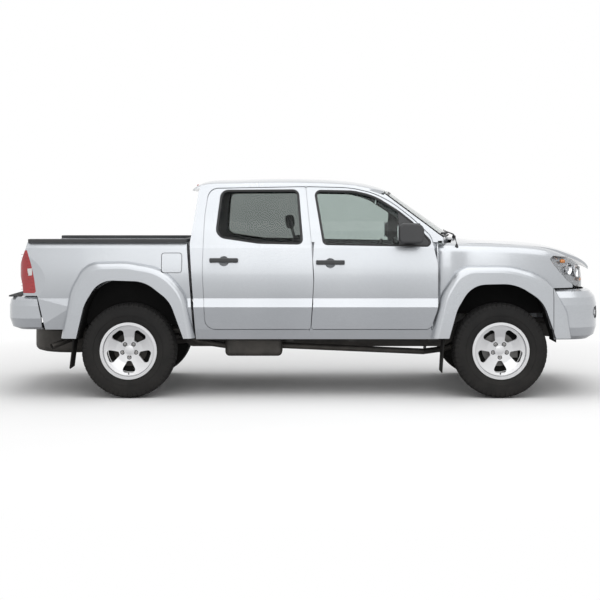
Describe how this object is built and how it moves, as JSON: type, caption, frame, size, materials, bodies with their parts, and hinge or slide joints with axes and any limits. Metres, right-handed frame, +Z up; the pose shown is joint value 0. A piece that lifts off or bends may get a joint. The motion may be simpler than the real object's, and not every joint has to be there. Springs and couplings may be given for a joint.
{
  "type": "pickup truck",
  "caption": "Mid-size crew-cab pickup truck on a ladder frame, with opening doors, hood and tailgate, steered front wheels and a short load bed.",
  "frame": {"origin": "on the ground, at the middle of the truck's box seen from above", "axes": "+X forward along the truck, +Y to its left, +Z up"},
  "size_m": [5.2199, 2.15, 1.9057],
  "materials": {
    "body_paint": "metallic gloss",
    "black_steel": "satin",
    "grey_plastic": "textured",
    "black_plastic": "textured",
    "window_glass": "clear",
    "clear_lens": "clear",
    "red_lens": "gloss",
    "tyre_rubber": "matt",
    "wheel_alloy": "satin",
    "bare_steel": "satin",
    "engine_metal": "rough",
    "seat_cloth": "woven",
    "trim_grey": "textured"
  },
  "bodies": {
    "chassis": {"cab_sides": "body_paint", "roof": "body_paint", "cab_back": "body_paint", "cab_glass": "window_glass", "cab_floor": "black_steel", "cowl": "black_plastic", "dashboard": "trim_grey", "seats": "seat_cloth", "front_wings": "body_paint", "headlamps": "clear_lens", "grille": "grey_plastic", "front_bumper": "body_paint", "fog_lamps": "clear_lens", "engine_bay": "black_steel", "engine": "engine_metal", "wheel_liners": "black_plastic", "mud_flaps": "black_plastic", "load_bed": "body_paint", "tail_lamps": "red_lens", "bed_rails": "black_plastic", "rear_bumper": "body_paint", "frame": "black_steel", "rear_axle": "black_steel", "leaf_springs": "bare_steel", "front_suspension": "black_steel", "fuel_tank": "black_plastic", "exhaust": "bare_steel", "spare_wheel": "tyre_rubber"},
    "steering_wheel": {"steering_wheel": "black_plastic"},
    "hood": {"hood": "body_paint"},
    "tailgate": {"tailgate": "body_paint"},
    "fuel_flap": {"fuel_flap": "body_paint"},
    "knuckle_left": {"knuckle_left": "engine_metal"},
    "knuckle_right": {"knuckle_right": "engine_metal"},
    "door_front_left": {"door_front_left": "body_paint", "door_glass_front_left": "window_glass", "door_fittings_front_left": "grey_plastic"},
    "wheel_front_left": {"tyre_front_left": "tyre_rubber", "rim_front_left": "wheel_alloy"},
    "door_front_right": {"door_front_right": "body_paint", "door_glass_front_right": "window_glass", "door_fittings_front_right": "grey_plastic"},
    "wheel_front_right": {"tyre_front_right": "tyre_rubber", "rim_front_right": "wheel_alloy"},
    "door_rear_left": {"door_rear_left": "body_paint", "door_glass_rear_left": "window_glass", "door_fittings_rear_left": "grey_plastic"},
    "wheel_rear_left": {"tyre_rear_left": "tyre_rubber", "rim_rear_left": "wheel_alloy"},
    "door_rear_right": {"door_rear_right": "body_paint", "door_glass_rear_right": "window_glass", "door_fittings_rear_right": "grey_plastic"},
    "wheel_rear_right": {"tyre_rear_right": "tyre_rubber", "rim_rear_right": "wheel_alloy"}
  },
  "joints": [
    {"name": "steer_left", "type": "hinge", "parent": "chassis", "child": "knuckle_left", "pos_m": [1.682, 0.69, 0.408], "axis": [0, 0, 1], "range_deg": [-32, 32]},
    {"name": "steer_right", "type": "hinge", "parent": "chassis", "child": "knuckle_right", "pos_m": [1.682, -0.69, 0.408], "axis": [0, 0, 1], "range_deg": [-32, 32]},
    {"name": "steering_wheel_turn", "type": "hinge", "parent": "chassis", "child": "steering_wheel", "pos_m": [0.64, 0.375, 1.165], "axis": [-0.8875, 0, 0.4608], "range_deg": [-512, 512]},
    {"name": "wheel_spin_front_left", "type": "hinge", "parent": "knuckle_left", "child": "wheel_front_left", "pos_m": [1.682, 0.7825, 0.408], "axis": [0, 1, 0], "continuous": true},
    {"name": "wheel_spin_front_right", "type": "hinge", "parent": "knuckle_right", "child": "wheel_front_right", "pos_m": [1.682, -0.7825, 0.408], "axis": [0, 1, 0], "continuous": true},
    {"name": "wheel_spin_rear_left", "type": "hinge", "parent": "chassis", "child": "wheel_rear_left", "pos_m": [-1.518, 0.7825, 0.408], "axis": [0, 1, 0], "continuous": true},
    {"name": "wheel_spin_rear_right", "type": "hinge", "parent": "chassis", "child": "wheel_rear_right", "pos_m": [-1.518, -0.7825, 0.408], "axis": [0, 1, 0], "continuous": true},
    {"name": "door_hinge_front_left", "type": "hinge", "parent": "chassis", "child": "door_front_left", "pos_m": [1.0991, 0.86, 0.89], "axis": [0, 0, -1], "range_deg": [0, 65]},
    {"name": "door_hinge_front_right", "type": "hinge", "parent": "chassis", "child": "door_front_right", "pos_m": [1.0991, -0.86, 0.89], "axis": [0, 0, 1], "range_deg": [0, 65]},
    {"name": "door_hinge_rear_left", "type": "hinge", "parent": "chassis", "child": "door_rear_left", "pos_m": [0.0263, 0.86, 0.89], "axis": [0, 0, -1], "range_deg": [0, 65]},
    {"name": "door_hinge_rear_right", "type": "hinge", "parent": "chassis", "child": "door_rear_right", "pos_m": [0.0263, -0.86, 0.89], "axis": [0, 0, 1], "range_deg": [0, 65]},
    {"name": "hood_hinge", "type": "hinge", "parent": "chassis", "child": "hood", "pos_m": [1.362, 0, 1.316], "axis": [0, -1, 0], "range_deg": [0, 50]},
    {"name": "tailgate_hinge", "type": "hinge", "parent": "chassis", "child": "tailgate", "pos_m": [-2.4, 0, 0.945], "axis": [0, -1, 0], "range_deg": [0, 90]},
    {"name": "fuel_flap_hinge", "type": "hinge", "parent": "chassis", "child": "fuel_flap", "pos_m": [-1.066, -0.88, 1.164], "axis": [0, 0, 1], "range_deg": [0, 95]}
  ],
  "couplings": [
    {"joint": "steer_right", "follows": "steer_left", "ratio": 1},
    {"joint": "steering_wheel_turn", "follows": "steer_left", "ratio": 16}
  ]
}
